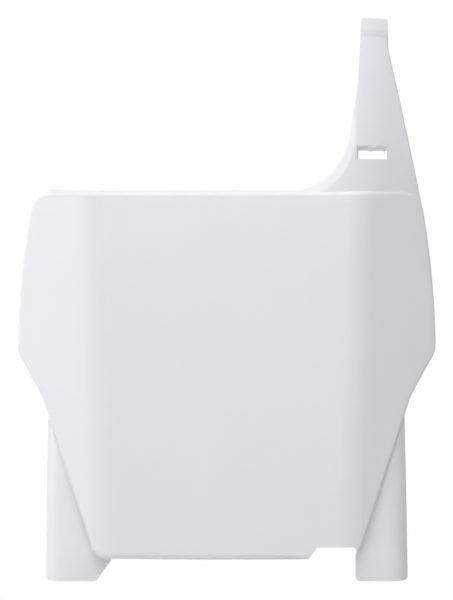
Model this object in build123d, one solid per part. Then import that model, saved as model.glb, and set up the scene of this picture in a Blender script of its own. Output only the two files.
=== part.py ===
from build123d import *
import os
from math import asin, atan2, cos, radians, sin, sqrt, tan

os.makedirs("parts", exist_ok=True)

# The board is drawn lying on its back: x to the viewer's right, y up the board and z out of
# the face. The last lines stand it up, so that the face looks along -Y and the arm rises in +Z.
# The origin is the middle of the flat number face. Sizes are millimetres and degrees.

# Moulded sheet
WALL = 2.4
EDGE_RADIUS = 3.2
RIM_DEPTH = 7.0
DRAFT_ANGLE = 4.0

# Shield outline where the walls meet the plane of the face, one half of it
HALF_WIDTH = 125.5
TOP_HEIGHT = 110.4
TOP_HALF_WIDTH = 115.8
TOP_CORNER_RADIUS = 14.0
FLANK_RADIUS = 520.0
TIP_HEIGHT = 14.7
TIP_RADIUS = 14.0
WAIST_HALF_WIDTH = 110.4
WAIST_DROP = 12.8
WAIST_RADIUS = 30.0
FOOT_HALF_WIDTH = 78.5
FOOT_DROP = 110.0
FOOT_RADIUS = 9.6
BOTTOM_BOW = 0.9

# Fold lines between the flat face and the wings
FOLD_TOP_HALF_WIDTH = 81.8
FOLD_FOOT_HALF_WIDTH = 74.6
WING_SWEEP = 34.0
FOLD_RADIUS = 25.0

# Legs, inside the waist's width and dropping below the middle of the shield's bottom edge, and
# the gusset that starts beside the rounded foot
LEG_SETBACK = 22.0
LEG_INSET = 0.5
LEG_SPLAY = 0.5
LEG_CURL_RADIUS = 14.0
LEG_CURL_DEPTH = 11.5
LEG_DROP = 14.9
LEG_INNER_HALF_SPAN = 79.2
LEG_CORNER_RADIUS = 3.0
LEG_ROOT_RADIUS = 2.0
GUSSET_LAP = 2.5

# Notch beside the leg under the arm
NOTCH_START = 48.8
NOTCH_SLANT = 5.4
NOTCH_END = 78.4
NOTCH_HEIGHT = 6.4
NOTCH_RADIUS = 3.0

# Arm, with its heights above the shield's top edge
ARM_SETBACK = 1.0
ARM_FOLD_RADIUS = 55.0
ARM_LEAN_RADIUS = 205.0
ARM_RIM_LEAN_RADIUS = 1000.0
ARM_SWING_BELOW = 8.0
ARM_SWING_ABOVE = 42.0
ARM_ROOT_OVERLAP = 12.0
ARM_ROOT_BEVEL = 4.0
ARM_OUTER_LAP = 1.9
ARM_FLARE_X = 68.8
ARM_FLARE_RADIUS = 42.0
ARM_ROLL_RADIUS = 8.0
ROLL_FLARE_RADIUS = 36.0

# Strap and its barbed head
STRAP_LEFT_X = 82.2
STRAP_RIGHT_X = 99.0
STRAP_START = 87.6
STRAP_TOP = 107.0
STRAP_CORNER_RADIUS = 1.0
NECK_LEFT_X = 79.6
NECK_HEIGHT = 65.6
NECK_RADIUS = 30.0
HEAD_LENGTH = 24.0
HEAD_RISE = 1.0
HEAD_ROUND = 12.0

# Strap slot through the arm
SLOT_X = 87.6
SLOT_HEIGHT = 23.8
SLOT_WIDTH = 21.0
SLOT_OPENING = 8.6
SLOT_BACK_WIDTH = 17.8
SLOT_BACK_SHIFT = 2.6
SLOT_RAMP = 3.3
COLLAR_DEPTH = 5.4
NIB_RADIUS = 2.6
NIB_RISE = 1.0

# Stock for the cuts, larger than the board
REACH = 300.0
CUT_DEPTH = 75.0
TOUCH = 0.01

# Levels that follow from the shield: where the arm's flare starts in the middle of the top wall,
# the tip of the strap, where the legs leave the bottom wall and where they end
FLARE_BASE = TOP_HEIGHT - WALL / 2
STRAP_LEVEL = TOP_HEIGHT + STRAP_TOP
LEG_SEAT = -FOOT_DROP - LEG_SETBACK * tan(radians(DRAFT_ANGLE))
LEG_LEVEL = -FOOT_DROP - BOTTOM_BOW - LEG_DROP

# Spans that follow from the shield: the legs' outer faces and the gusset's start
LEG_HALF_SPAN = WAIST_HALF_WIDTH - LEG_INSET
FOOT_TURN = atan2(FOOT_DROP - WAIST_DROP, WAIST_HALF_WIDTH - FOOT_HALF_WIDTH)
GUSSET_HALF_SPAN = FOOT_HALF_WIDTH - FOOT_RADIUS * tan(FOOT_TURN / 2) - GUSSET_LAP


def folded_block(inset):
    """Everything behind the shield's front skin, moved in by the inset."""
    stock = Pos(0, 0, -inset) * Box(
        2 * REACH, 2 * REACH, REACH, align=(Align.CENTER, Align.CENTER, Align.MAX)
    )
    for side in (1, -1):
        upper = Vector(side * FOLD_TOP_HALF_WIDTH, TOP_HEIGHT, 0)
        lower = Vector(side * FOLD_FOOT_HALF_WIDTH, -FOOT_DROP, 0)
        along = upper - lower
        across = Vector(side * cos(radians(WING_SWEEP)), 0, -sin(radians(WING_SWEEP)))
        normal = across.cross(along) * side
        wing = Plane(origin=upper, x_dir=along, z_dir=normal).offset(-inset)
        stock -= wing * Box(
            4 * REACH, 4 * REACH, REACH, align=(Align.CENTER, Align.CENTER, Align.MIN)
        )
    face = stock.faces().sort_by(Axis.Z)[-1]
    folds = face.edges().filter_by(Axis.X, reverse=True)
    return fillet(folds, radius=FOLD_RADIUS - inset)


def flank():
    """The bowed outer edge of the wing on the arm's side, from its top corner to its tip."""
    return RadiusArc((TOP_HALF_WIDTH, TOP_HEIGHT), (HALF_WIDTH, TIP_HEIGHT), FLANK_RADIUS)


def shield_outline():
    """The shield's closed outline in the plane of the face."""
    top = (TOP_HALF_WIDTH, TOP_HEIGHT)
    tip = (HALF_WIDTH, TIP_HEIGHT)
    waist = (WAIST_HALF_WIDTH, -WAIST_DROP)
    foot = (FOOT_HALF_WIDTH, -FOOT_DROP)
    side = Curve() + [flank(), Polyline(tip, waist, foot)]
    upper = Line((-TOP_HALF_WIDTH, TOP_HEIGHT), top)
    lower = ThreePointArc(foot, (0, -FOOT_DROP - BOTTOM_BOW), (-FOOT_HALF_WIDTH, -FOOT_DROP))
    outline = make_face(side + mirror(side, about=Plane.YZ) + upper + lower)
    radii = [TOP_CORNER_RADIUS, TIP_RADIUS, WAIST_RADIUS, FOOT_RADIUS]
    for (x, y), radius in zip((top, tip, waist, foot), radii):
        corners = [outline.vertices().sort_by_distance((s * x, y))[0] for s in (1, -1)]
        outline = fillet(corners, radius=radius)
    return outline


def drawn_walls(outline):
    """The outline drawn straight back, opening by the draft angle."""
    prism = extrude(outline, amount=-CUT_DEPTH)
    sides = [f for f in prism.faces() if abs(f.normal_at().Z) < 0.5]
    return draft(sides, Plane.XY, DRAFT_ANGLE)


def skin_edges(body):
    """Edges where the front skin turns into the drawn walls."""
    skin = [f for f in body.faces() if f.normal_at().Z > 0.5]
    edges = [e for f in skin for e in f.edges()]
    return [e for e in edges if edges.count(e) == 1]


def through(outline):
    """A cutter along z from the outline."""
    return Pos(0, 0, -REACH) * extrude(outline, amount=2 * REACH)


def shield_plug(inset):
    """The shield as a solid plug, moved in by the inset, with its front edge rolled."""
    outline = offset(shield_outline(), amount=-inset) if inset else shield_outline()
    plug = drawn_walls(outline) & folded_block(inset)
    return fillet(skin_edges(plug), radius=EDGE_RADIUS - inset)


def leg_block(side, inset):
    """Everything behind one leg's front skin, moved in by the inset."""
    stock = Pos(0, 0, -LEG_SETBACK - inset) * Box(
        LEG_HALF_SPAN - inset, 2 * REACH, CUT_DEPTH, align=(Align.MIN, Align.CENTER, Align.MAX)
    )
    outer = stock.faces().sort_by(Axis.X)[-1]
    corner = outer.edges().filter_by(Axis.Y).sort_by(Axis.Z)[-1]
    stock = Rot(0, 0, LEG_SPLAY) * fillet(corner, radius=LEG_CURL_RADIUS - inset)
    return stock if side > 0 else mirror(stock, about=Plane.YZ)


def leg_outline(side):
    """One leg in front view, with the gusset beside it or the straight edge at the notch."""
    outer = LEG_HALF_SPAN + LEG_CORNER_RADIUS
    inner = [(GUSSET_HALF_SPAN, LEG_SEAT), (LEG_INNER_HALF_SPAN, LEG_LEVEL)]
    if side > 0:
        inner = [(NOTCH_END, LEG_SEAT), (NOTCH_END, LEG_LEVEL)]
    points = [(inner[0][0], 0), *inner, (outer, LEG_LEVEL), (outer, 0)]
    radii = [0, 0, LEG_CORNER_RADIUS, 2 * LEG_CORNER_RADIUS, 0]
    return make_face(FilletPolyline(*[(side * x, y) for x, y in points], radius=radii, close=True))


def notch_outline():
    """The notch in the bottom edge, open below, running into the leg's inner edge."""
    low = -FOOT_DROP - BOTTOM_BOW - WALL / 6
    high = -FOOT_DROP + NOTCH_HEIGHT
    points = [
        (NOTCH_START - 3 * NOTCH_RADIUS, low),
        (NOTCH_START, low),
        (NOTCH_START + NOTCH_SLANT, high),
        (NOTCH_END, high),
        (NOTCH_END, LEG_LEVEL - WALL),
        (NOTCH_START - 3 * NOTCH_RADIUS, LEG_LEVEL - WALL),
    ]
    radii = [0, NOTCH_RADIUS, NOTCH_RADIUS, NOTCH_RADIUS, 0, 0]
    return make_face(FilletPolyline(*points, radius=radii, close=True))


def leaning_block(inset, setback, lean_radius):
    """Everything behind the arm's front skin, which folds like the wing and leans back upward."""
    level = -setback - inset
    fold = FOLD_TOP_HALF_WIDTH - inset * tan(radians(WING_SWEEP / 2))
    far_x = fold + HALF_WIDTH * cos(radians(WING_SWEEP))
    far_z = level - HALF_WIDTH * sin(radians(WING_SWEEP))
    behind = -0.6 * lean_radius
    points = [(0, level), (fold, level), (far_x, far_z), (far_x, behind), (0, behind)]
    radii = [0, ARM_FOLD_RADIUS - inset, 0, 0, 0]
    section = make_face(FilletPolyline(*points, radius=radii, close=True))
    axis = Axis((0, TOP_HEIGHT, -setback - lean_radius), (-1, 0, 0))
    section = (Plane.XZ.offset(-TOP_HEIGHT) * section).rotate(axis, -ARM_SWING_BELOW)
    return revolve(section, axis, revolution_arc=ARM_SWING_BELOW + ARM_SWING_ABOVE)


def arm_root(extra):
    """The buried corner points of the arm, from the wing side round to the flare."""
    seat = flank() @ (ARM_ROOT_OVERLAP / flank().length)
    outer = seat.X + ARM_OUTER_LAP
    low = seat.Y - ARM_ROOT_BEVEL - extra
    start = ARM_FLARE_X - ARM_FLARE_RADIUS - extra
    return [(outer, seat.Y), (outer - ARM_ROOT_BEVEL, low), (start, low), (start, FLARE_BASE)]


def arm_outline():
    """The arm and strap in front view."""
    points = arm_root(0) + [
        (ARM_FLARE_X, FLARE_BASE),
        (NECK_LEFT_X, TOP_HEIGHT + NECK_HEIGHT),
        (STRAP_LEFT_X, STRAP_LEVEL),
        (STRAP_RIGHT_X, STRAP_LEVEL),
        (STRAP_RIGHT_X, TOP_HEIGHT + STRAP_START),
    ]
    tip = [STRAP_CORNER_RADIUS, STRAP_CORNER_RADIUS]
    radii = [0, 0, 0, 0, ARM_FLARE_RADIUS, NECK_RADIUS, *tip, NECK_RADIUS]
    return make_face(FilletPolyline(*points, radius=radii, close=True))


def roll_outline(extra):
    """The arm before its left edge is trimmed: the edge stays upright, so the roll runs out."""
    high = STRAP_LEVEL + WALL
    points = arm_root(extra) + [
        (ARM_FLARE_X, FLARE_BASE),
        (ARM_FLARE_X, high),
        (STRAP_RIGHT_X, high),
        (STRAP_RIGHT_X, TOP_HEIGHT + STRAP_START),
    ]
    radii = [0, 0, 0, 0, ROLL_FLARE_RADIUS, 0, 0, NECK_RADIUS]
    return make_face(FilletPolyline(*points, radius=radii, close=True))


def arm_plug(inset):
    """The arm as a solid plug, moved in by the inset, with both front edges rolled."""
    outline = offset(roll_outline(2 * inset), amount=-inset) if inset else roll_outline(0)
    plug = through(outline) & leaning_block(inset, ARM_SETBACK, ARM_LEAN_RADIUS)
    low = FLARE_BASE - inset - WALL / 2
    for beyond, radius in ((True, EDGE_RADIUS), (False, ARM_ROLL_RADIUS)):
        rolled = [
            e
            for e in skin_edges(plug)
            if low < e.center().Y < STRAP_LEVEL - WALL and (e.center().X > FOLD_TOP_HALF_WIDTH) == beyond
        ]
        plug = fillet(rolled, radius=radius - inset)
    return plug


def head_plug():
    """The barbed head as a plug standing proud of the strap, its lower edge well rounded."""
    width = 3 * (STRAP_RIGHT_X - STRAP_LEFT_X)
    stock = Pos(STRAP_LEFT_X, STRAP_LEVEL - HEAD_LENGTH, 0) * Box(
        width, 2 * HEAD_LENGTH, 2 * REACH, align=(Align.CENTER, Align.MIN, Align.CENTER)
    )
    plug = leaning_block(-HEAD_RISE, ARM_SETBACK, ARM_LEAN_RADIUS) & stock
    lower = plug.faces().sort_by(Axis.Y)[0]
    front = [e for e in skin_edges(plug) if e in lower.edges()]
    return fillet(front, radius=HEAD_ROUND) & through(arm_outline())


def slot_place():
    """The plane that touches the arm's front skin at the slot."""
    start = FOLD_TOP_HALF_WIDTH - ARM_FOLD_RADIUS * tan(radians(WING_SWEEP / 2))
    turn = min(asin((SLOT_X - start) / ARM_FOLD_RADIUS), radians(WING_SWEEP))
    depth = ARM_SETBACK + ARM_FOLD_RADIUS * (1 - cos(turn))
    swing = ARM_LEAN_RADIUS - ARM_FOLD_RADIUS * (1 - cos(turn))
    depth += swing - sqrt(swing**2 - SLOT_HEIGHT**2)
    return Plane(
        origin=(SLOT_X, TOP_HEIGHT + SLOT_HEIGHT, -depth),
        x_dir=(cos(turn), 0, -sin(turn)),
        z_dir=(sin(turn), 0, cos(turn)),
    )


def slot_cutter():
    """The slot, narrowing backward under a ramp that carries a half-round nib."""
    back_opening = SLOT_OPENING - SLOT_RAMP
    front = Rectangle(SLOT_WIDTH, SLOT_OPENING)
    back = Pos(SLOT_BACK_SHIFT, -SLOT_RAMP / 2, -COLLAR_DEPTH) * Rectangle(SLOT_BACK_WIDTH, back_opening)
    cutter = loft([front.face(), back.face()])
    cutter += extrude(front, amount=COLLAR_DEPTH)
    cutter += extrude(back, amount=-2 * COLLAR_DEPTH)
    ramp_top = Vector(SLOT_BACK_SHIFT / 2, SLOT_OPENING / 2, 0)
    ramp_end = Vector(SLOT_BACK_SHIFT / 2, SLOT_OPENING / 2 - SLOT_RAMP, -COLLAR_DEPTH)
    along = ramp_end - ramp_top
    lift = Vector(0, NIB_RADIUS - NIB_RISE, 0)
    nib = Plane(origin=ramp_top + lift, x_dir=(1, 0, 0), z_dir=along) * Cylinder(
        NIB_RADIUS, along.length, align=(Align.CENTER, Align.CENTER, Align.MIN)
    )
    return slot_place() * (cutter - nib)


def collar():
    """The pad of thicker wall round the slot."""
    width = SLOT_WIDTH + 2 * WALL
    pad = Pos(SLOT_X, TOP_HEIGHT + SLOT_HEIGHT) * Rectangle(width, SLOT_OPENING + 2 * WALL)
    block = through(pad) & arm_plug(0) & through(arm_outline())
    return block - leaning_block(COLLAR_DEPTH, ARM_SETBACK, ARM_LEAN_RADIUS)


def half_space(side):
    """One half of the stock, left or right of the middle."""
    half = Box(REACH, 2 * REACH, 2 * REACH, align=(Align.MIN, Align.CENTER, Align.CENTER))
    return half if side > 0 else mirror(half, about=Plane.YZ)


def leg_rear():
    """Everything behind the legs' rear edge, which runs level with the rim at the waist."""
    taper = (FOLD_TOP_HALF_WIDTH - FOLD_FOOT_HALF_WIDTH) / (TOP_HEIGHT + FOOT_DROP)
    waist_fold = FOLD_FOOT_HALF_WIDTH + (FOOT_DROP - WAIST_DROP) * taper
    waist_depth = (WAIST_HALF_WIDTH - waist_fold) * tan(radians(WING_SWEEP)) + RIM_DEPTH
    waist = Vector(0, -WAIST_DROP, -waist_depth)
    foot = Vector(0, LEG_LEVEL, -LEG_SETBACK - LEG_CURL_DEPTH)
    across = Vector(1, 0, 0)
    return Plane(origin=waist, x_dir=across, z_dir=across.cross(waist - foot)) * Box(
        2 * REACH, 2 * REACH, REACH, align=(Align.CENTER, Align.CENTER, Align.MAX)
    )


def leg_zone():
    """The two corners of the outline where the walls run back as far as the legs."""
    below = Pos(0, -WAIST_DROP, 0) * Box(
        2 * REACH, REACH, 2 * REACH, align=(Align.CENTER, Align.MAX, Align.CENTER)
    )
    slope = GUSSET_HALF_SPAN - (LEG_SETBACK - RIM_DEPTH)
    half = [(slope, REACH), (slope, -RIM_DEPTH), (GUSSET_HALF_SPAN, -LEG_SETBACK), (GUSSET_HALF_SPAN, -REACH)]
    between = make_face(Polyline(*half, *[(-x, z) for x, z in reversed(half)], close=True))
    return below - extrude(Plane.XZ * between, amount=REACH, both=True)


def shield():
    """Face and wings with their rim, the step walls and both legs."""
    zone = leg_zone()
    rear = leg_rear()
    rim_back = Pos(0, 0, -RIM_DEPTH) * folded_block(0)
    shell = shield_plug(0) - shield_plug(WALL) - (rim_back - zone) - (zone & rear)
    well = drawn_walls(offset(shield_outline(), amount=-WALL))
    for side in (1, -1):
        shell -= zone & half_space(side) & leg_block(side, WALL)
    for side in (1, -1):
        leg = leg_block(side, 0) & through(leg_outline(side))
        shell += leg - leg_block(side, WALL) - rear - well
    walls = drawn_walls(shield_outline()).shells()[0]
    for side in (1, -1):
        skin = leg_block(side, 0).shells()[0]
        roots = [
            e
            for e in shell.edges()
            if (e @ 0.5).X * side > 0
            and (e @ 0.5).Z < TOUCH - LEG_SETBACK
            and walls.distance_to(e @ 0.5) < TOUCH
            and skin.distance_to(e @ 0.5) < TOUCH
        ]
        shell = fillet(roots, radius=LEG_ROOT_RADIUS)
    return shell - through(notch_outline())


def number_board():
    """The whole moulding, lying on its back."""
    sheet_back = leaning_block(WALL, ARM_SETBACK, ARM_LEAN_RADIUS)
    arm_rear = leaning_block(0, ARM_SETBACK + RIM_DEPTH, ARM_RIM_LEAN_RADIUS) & sheet_back
    wall_middle = drawn_walls(offset(shield_outline(), amount=-WALL / 2))
    arm = (arm_plug(0) & through(arm_outline())) - arm_rear - wall_middle
    board = shield() + arm
    board -= arm_plug(WALL)
    board += head_plug() - sheet_back
    board += collar()
    return board - slot_cutter()


board = Plane.XZ * number_board()
board.label = "number_board"
export_step(board, "parts/number_board.step")
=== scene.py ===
"""Finish and studio stage for a moulded racing number board."""

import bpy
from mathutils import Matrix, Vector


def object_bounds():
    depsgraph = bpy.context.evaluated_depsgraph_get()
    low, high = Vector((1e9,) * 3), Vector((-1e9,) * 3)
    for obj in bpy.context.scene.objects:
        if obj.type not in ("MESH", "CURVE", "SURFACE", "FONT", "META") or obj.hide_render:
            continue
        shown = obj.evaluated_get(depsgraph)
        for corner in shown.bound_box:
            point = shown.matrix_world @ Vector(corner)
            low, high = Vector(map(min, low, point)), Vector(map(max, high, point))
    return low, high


bl_info = {
    "name": "Racing Number Board",
    "version": (1, 0, 0),
    "blender": (4, 5, 0),
    "location": "View3D > Sidebar > Number Board",
    "description": "Gives a moulded number board its finish and sets up a soft white studio",
    "category": "Object",
}

import bmesh
import bpy
from bpy.props import FloatProperty, FloatVectorProperty, PointerProperty
from bpy.types import Operator, Panel, PropertyGroup
from mathutils import Matrix, Vector

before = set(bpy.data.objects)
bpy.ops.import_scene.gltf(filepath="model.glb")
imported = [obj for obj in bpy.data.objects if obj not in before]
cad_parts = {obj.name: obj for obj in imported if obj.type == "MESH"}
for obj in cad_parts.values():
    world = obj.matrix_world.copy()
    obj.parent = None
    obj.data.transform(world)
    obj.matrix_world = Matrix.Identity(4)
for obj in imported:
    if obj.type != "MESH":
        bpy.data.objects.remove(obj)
CAD_BOX = [list(corner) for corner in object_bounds()]

# Nearly all of a noise texture lies between these two values.
NOISE_LOW = 0.3
NOISE_HIGH = 0.7

# Half the floor's width in metres, and the height of the camera's sensor in millimetres.
FLOOR_REACH = 6.0
SENSOR_HEIGHT = 36.0

# Place and width of each soft light in metres. The stage settings hold its power.
LIGHTS = {
    "side": ((-1.7, 0.1, 0.4), 1.0),
    "brow": ((0.0, -0.5, 1.5), 1.2),
    "front": ((0.0, -2.2, 0.9), 1.2),
    "back": ((-1.0, 1.7, 0.3), 1.2),
}


def linear(hex_colour):
    """Linear red, green and blue of an sRGB hex colour."""
    parts = [int(hex_colour[i : i + 2], 16) / 255 for i in (0, 2, 4)]
    return tuple(p / 12.92 if p <= 0.04045 else ((p + 0.055) / 1.055) ** 2.4 for p in parts)


def add_node(tree, kind, settings=None, links=None):
    """Add a node, set its properties and inputs by name or index, and link its inputs."""
    node = tree.nodes.new(kind)
    for key, value in (settings or {}).items():
        if isinstance(key, int) or key in node.inputs:
            node.inputs[key].default_value = value
        else:
            setattr(node, key, value)
    for key, source in (links or {}).items():
        tree.links.new(source, node.inputs[key])
    return node


def empty_tree(owner):
    """The owner's node tree with every node taken out."""
    owner.use_nodes = True
    owner.node_tree.nodes.clear()
    return owner.node_tree


class NumberBoardFinish(PropertyGroup):
    """Finish of the moulding."""

    colour: FloatVectorProperty(
        name="Colour",
        description="Colour of the pigmented plastic",
        subtype="COLOR",
        size=3,
        min=0.0,
        max=1.0,
        default=linear("F0EFF1"),
    )
    flow_colour: FloatVectorProperty(
        name="Flow Colour",
        description="Slightly greyer colour where the melt front ran",
        subtype="COLOR",
        size=3,
        min=0.0,
        max=1.0,
        default=linear("ECEBED"),
    )
    flow_width: FloatProperty(
        name="Flow Width",
        description="Width of the soft clouds that the melt leaves in the colour",
        subtype="DISTANCE",
        unit="LENGTH",
        default=0.055,
    )
    gloss_patch: FloatProperty(
        name="Gloss Patch",
        description="Size of the patches where the gloss varies",
        subtype="DISTANCE",
        unit="LENGTH",
        default=0.018,
    )
    gloss_roughness: FloatProperty(
        name="Gloss Roughness",
        description="Roughness of the glossiest patches",
        subtype="FACTOR",
        min=0.0,
        max=1.0,
        default=0.29,
    )
    dull_roughness: FloatProperty(
        name="Dull Roughness",
        description="Roughness of the dullest patches",
        subtype="FACTOR",
        min=0.0,
        max=1.0,
        default=0.36,
    )
    peel_width: FloatProperty(
        name="Peel Width",
        description="Width of the dimples of the moulded skin",
        subtype="DISTANCE",
        unit="LENGTH",
        default=0.0018,
    )
    peel_height: FloatProperty(
        name="Peel Height",
        description="Depth of the dimples of the moulded skin",
        subtype="DISTANCE",
        unit="LENGTH",
        default=0.000006,
    )
    glow_share: FloatProperty(
        name="Glow Share",
        description="Share of the light that travels under the skin",
        subtype="FACTOR",
        min=0.0,
        max=1.0,
        default=0.12,
    )
    glow_depth: FloatProperty(
        name="Glow Depth",
        description="How far light travels under the skin",
        subtype="DISTANCE",
        unit="LENGTH",
        default=0.0015,
    )


class NumberBoardStage(PropertyGroup):
    """Floor, lights and camera."""

    floor_colour: FloatVectorProperty(
        name="Floor Colour",
        description="Colour of the pale floor",
        subtype="COLOR",
        size=3,
        min=0.0,
        max=1.0,
        default=linear("F0F0F0"),
    )
    floor_drop: FloatProperty(
        name="Floor Drop",
        description="Gap between the legs and the floor, as the board hangs by its strap",
        subtype="DISTANCE",
        unit="LENGTH",
        default=0.12,
    )
    floor_near: FloatProperty(
        name="Floor Near",
        description="Distance from under the board out to which the floor shows its own shade",
        subtype="DISTANCE",
        unit="LENGTH",
        default=0.4,
    )
    floor_far: FloatProperty(
        name="Floor Far",
        description="Distance from under the board where the floor has faded to white",
        subtype="DISTANCE",
        unit="LENGTH",
        default=1.0,
    )
    surround: FloatProperty(
        name="Surround",
        description="Strength of the even light from all round",
        default=0.1,
    )
    side_power: FloatProperty(
        name="Side Power",
        description="Power of the soft light at the left",
        subtype="POWER",
        unit="POWER",
        default=12.2,
    )
    brow_power: FloatProperty(
        name="Brow Power",
        description="Power of the soft light above and in front",
        subtype="POWER",
        unit="POWER",
        default=14.4,
    )
    front_power: FloatProperty(
        name="Front Power",
        description="Power of the soft light behind the camera",
        subtype="POWER",
        unit="POWER",
        default=18.9,
    )
    back_power: FloatProperty(
        name="Back Power",
        description="Power of the soft light behind, which lifts the hollow side",
        subtype="POWER",
        unit="POWER",
        default=9.0,
    )
    camera_distance: FloatProperty(
        name="Camera Distance",
        description="Distance of the camera from the number face",
        subtype="DISTANCE",
        unit="LENGTH",
        default=1.8,
    )
    camera_height: FloatProperty(
        name="Camera Height",
        description="Height of the camera above the middle of the number face",
        subtype="DISTANCE",
        unit="LENGTH",
        default=0.045,
    )
    view_height: FloatProperty(
        name="View Height",
        description="Height of the picture in the plane of the number face",
        subtype="DISTANCE",
        unit="LENGTH",
        default=0.36,
    )


def moulded_polypropylene(finish):
    """White pigmented polypropylene as it leaves a polished injection mould."""
    # The pigment scatters nearly all light, a little of it under the skin, so edges look soft.
    # The skin has a low, broad sheen that follows faint dimples and clouds.
    material = bpy.data.materials.new("moulded_white_polypropylene")
    tree = empty_tree(material)
    place = add_node(tree, "ShaderNodeTexCoord").outputs["Object"]
    clouds = add_node(
        tree,
        "ShaderNodeTexNoise",
        {"Scale": 1 / finish.flow_width, "Detail": 2.0, "Roughness": 0.45, "Distortion": 0.4},
        {"Vector": place},
    )
    colour = add_node(
        tree,
        "ShaderNodeMix",
        {"data_type": "RGBA", 6: (*finish.flow_colour, 1), 7: (*finish.colour, 1)},
        {0: clouds.outputs["Fac"]},
    )
    patches = add_node(
        tree,
        "ShaderNodeTexNoise",
        {"Scale": 1 / finish.gloss_patch, "Detail": 3.0, "Roughness": 0.5},
        {"Vector": place},
    )
    roughness = add_node(
        tree,
        "ShaderNodeMapRange",
        {
            "From Min": NOISE_LOW,
            "From Max": NOISE_HIGH,
            "To Min": finish.gloss_roughness,
            "To Max": finish.dull_roughness,
        },
        {"Value": patches.outputs["Fac"]},
    )
    # Real dimples are about half as wide: these are drawn wider so that the sheen shows them.
    dimples = add_node(
        tree,
        "ShaderNodeTexNoise",
        {"Scale": 1 / finish.peel_width, "Detail": 1.0, "Roughness": 0.4},
        {"Vector": place},
    )
    bump = add_node(
        tree,
        "ShaderNodeBump",
        {"Strength": 1.0, "Distance": finish.peel_height},
        {"Height": dimples.outputs["Fac"]},
    )
    skin = add_node(
        tree,
        "ShaderNodeBsdfPrincipled",
        {
            "IOR": 1.49,
            "Subsurface Weight": finish.glow_share,
            "Subsurface Radius": (1.0, 1.0, 1.0),
            "Subsurface Scale": finish.glow_depth,
        },
        {
            "Base Color": colour.outputs[2],
            "Roughness": roughness.outputs["Result"],
            "Normal": bump.outputs["Normal"],
        },
    )
    add_node(tree, "ShaderNodeOutputMaterial", links={"Surface": skin.outputs["BSDF"]})
    return material


def seen_directly(tree):
    """One where the camera, a reflection or a clear material looks, and zero for light."""
    path = add_node(tree, "ShaderNodeLightPath")
    gloss = add_node(
        tree,
        "ShaderNodeMath",
        {"operation": "MAXIMUM"},
        {0: path.outputs["Is Camera Ray"], 1: path.outputs["Is Glossy Ray"]},
    )
    both = add_node(
        tree,
        "ShaderNodeMath",
        {"operation": "MAXIMUM"},
        {0: gloss.outputs[0], 1: path.outputs["Is Transmission Ray"]},
    )
    return both.outputs[0]


def studio_floor(stage):
    """Pale matt floor that takes the board's shadow and fades to white further out."""
    material = bpy.data.materials.new("matt_studio_floor")
    tree = empty_tree(material)
    matt = add_node(tree, "ShaderNodeBsdfDiffuse", {"Color": (*stage.floor_colour, 1)})
    white = add_node(tree, "ShaderNodeEmission", {"Color": (1, 1, 1, 1), "Strength": 1.0})
    place = add_node(tree, "ShaderNodeTexCoord").outputs["Object"]
    distance = add_node(tree, "ShaderNodeVectorMath", {"operation": "LENGTH"}, {0: place})
    fade = add_node(
        tree,
        "ShaderNodeMapRange",
        {
            "interpolation_type": "SMOOTHSTEP",
            "From Min": stage.floor_near,
            "From Max": stage.floor_far,
            "To Min": 0.0,
            "To Max": 1.0,
        },
        {"Value": distance.outputs["Value"]},
    )
    share = add_node(
        tree,
        "ShaderNodeMath",
        {"operation": "MULTIPLY"},
        {0: seen_directly(tree), 1: fade.outputs["Result"]},
    )
    mix = add_node(
        tree,
        "ShaderNodeMixShader",
        links={0: share.outputs[0], 1: matt.outputs[0], 2: white.outputs[0]},
    )
    add_node(tree, "ShaderNodeOutputMaterial", links={"Surface": mix.outputs[0]})
    return material


def white_surround(stage):
    """World that looks white and lights the board evenly."""
    world = bpy.data.worlds.new("white_surround")
    tree = empty_tree(world)
    white = {"Color": (1, 1, 1, 1)}
    lit = add_node(tree, "ShaderNodeBackground", {**white, "Strength": stage.surround})
    seen = add_node(tree, "ShaderNodeBackground", {**white, "Strength": 1.0})
    mix = add_node(
        tree,
        "ShaderNodeMixShader",
        links={0: seen_directly(tree), 1: lit.outputs[0], 2: seen.outputs[0]},
    )
    add_node(tree, "ShaderNodeOutputWorld", links={"Surface": mix.outputs[0]})
    return world


def look_from(name, data, place, direction):
    """Object with the given data at a place, turned to look in a direction."""
    watcher = bpy.data.objects.new(name, data)
    bpy.context.scene.collection.objects.link(watcher)
    turn = Vector(direction).to_track_quat("-Z", "Y")
    watcher.matrix_world = Matrix.Translation(place) @ turn.to_matrix().to_4x4()
    return watcher


def soft_light(name, place, aim, width, power):
    """Square soft light at a place, turned to a point and unseen itself."""
    lamp = bpy.data.lights.new(name, "AREA")
    lamp.shape = "SQUARE"
    lamp.size = width
    lamp.energy = power
    light = look_from(name, lamp, place, Vector(aim) - Vector(place))
    light.visible_camera = False


def lay_floor(stage):
    """Level floor below the board."""
    mesh = bpy.data.meshes.new("studio_floor")
    shape = bmesh.new()
    bmesh.ops.create_grid(shape, x_segments=1, y_segments=1, size=FLOOR_REACH)
    shape.to_mesh(mesh)
    shape.free()
    mesh.materials.append(studio_floor(stage))
    floor = bpy.data.objects.new("studio_floor", mesh)
    floor.location.z = CAD_BOX[0][2] - stage.floor_drop
    bpy.context.scene.collection.objects.link(floor)


def square_camera(stage):
    """Camera that looks squarely at the number face."""
    eye = bpy.data.cameras.new("camera")
    eye.sensor_fit = "VERTICAL"
    eye.sensor_height = SENSOR_HEIGHT
    eye.lens = eye.sensor_height * stage.camera_distance / stage.view_height
    return look_from("camera", eye, (0, -stage.camera_distance, stage.camera_height), (0, 1, 0))


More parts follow.
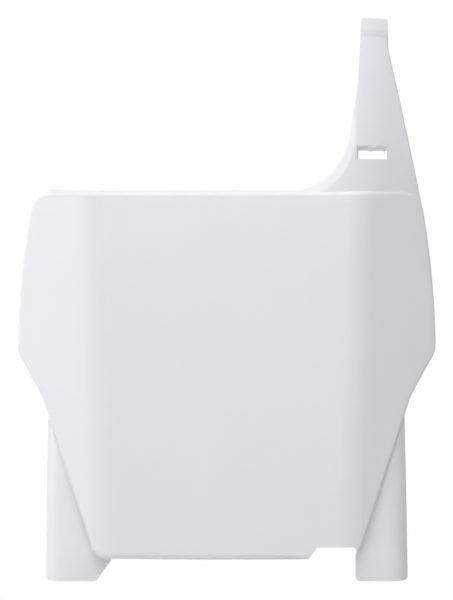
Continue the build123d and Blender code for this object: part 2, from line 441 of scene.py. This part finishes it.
class NUMBERBOARD_OT_finish_board(Operator):
    """Give the moulded board its plastic finish"""

    bl_idname = "numberboard.finish_board"
    bl_label = "Finish Board"

    def execute(self, context):
        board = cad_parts["number_board"]
        material = moulded_polypropylene(context.scene.number_board_finish)
        board.material_slots[0].material = material
        return {"FINISHED"}


class NUMBERBOARD_OT_set_stage(Operator):
    """Set up the floor, the soft lights, the white surround and the camera"""

    bl_idname = "numberboard.set_stage"
    bl_label = "Set Stage"

    def execute(self, context):
        scene = context.scene
        stage = scene.number_board_stage
        lay_floor(stage)
        scene.world = white_surround(stage)
        middle = (0, 0, stage.camera_height)
        for side, (place, width) in LIGHTS.items():
            soft_light(f"{side}_light", place, middle, width, getattr(stage, f"{side}_power"))
        scene.camera = square_camera(stage)
        scene.view_settings.view_transform = "Standard"
        return {"FINISHED"}


class NUMBERBOARD_PT_panel(Panel):
    """Finish and stage of the number board"""

    bl_idname = "NUMBERBOARD_PT_panel"
    bl_label = "Number Board"
    bl_space_type = "VIEW_3D"
    bl_region_type = "UI"
    bl_category = "Number Board"

    def draw(self, context):
        scene = context.scene
        rows = (
            (scene.number_board_finish, NUMBERBOARD_OT_finish_board),
            (scene.number_board_stage, NUMBERBOARD_OT_set_stage),
        )
        for settings, operator in rows:
            box = self.layout.box()
            for name in settings.__annotations__:
                box.prop(settings, name)
            box.operator(operator.bl_idname)


CLASSES = (
    NumberBoardFinish,
    NumberBoardStage,
    NUMBERBOARD_OT_finish_board,
    NUMBERBOARD_OT_set_stage,
    NUMBERBOARD_PT_panel,
)


def register():
    for kind in CLASSES:
        bpy.utils.register_class(kind)
    bpy.types.Scene.number_board_finish = PointerProperty(type=NumberBoardFinish)
    bpy.types.Scene.number_board_stage = PointerProperty(type=NumberBoardStage)


def unregister():
    del bpy.types.Scene.number_board_stage
    del bpy.types.Scene.number_board_finish
    for kind in reversed(CLASSES):
        bpy.utils.unregister_class(kind)


def main():
    register()
    bpy.ops.numberboard.finish_board()
    bpy.ops.numberboard.set_stage()


if __name__ == "__main__":
    main()
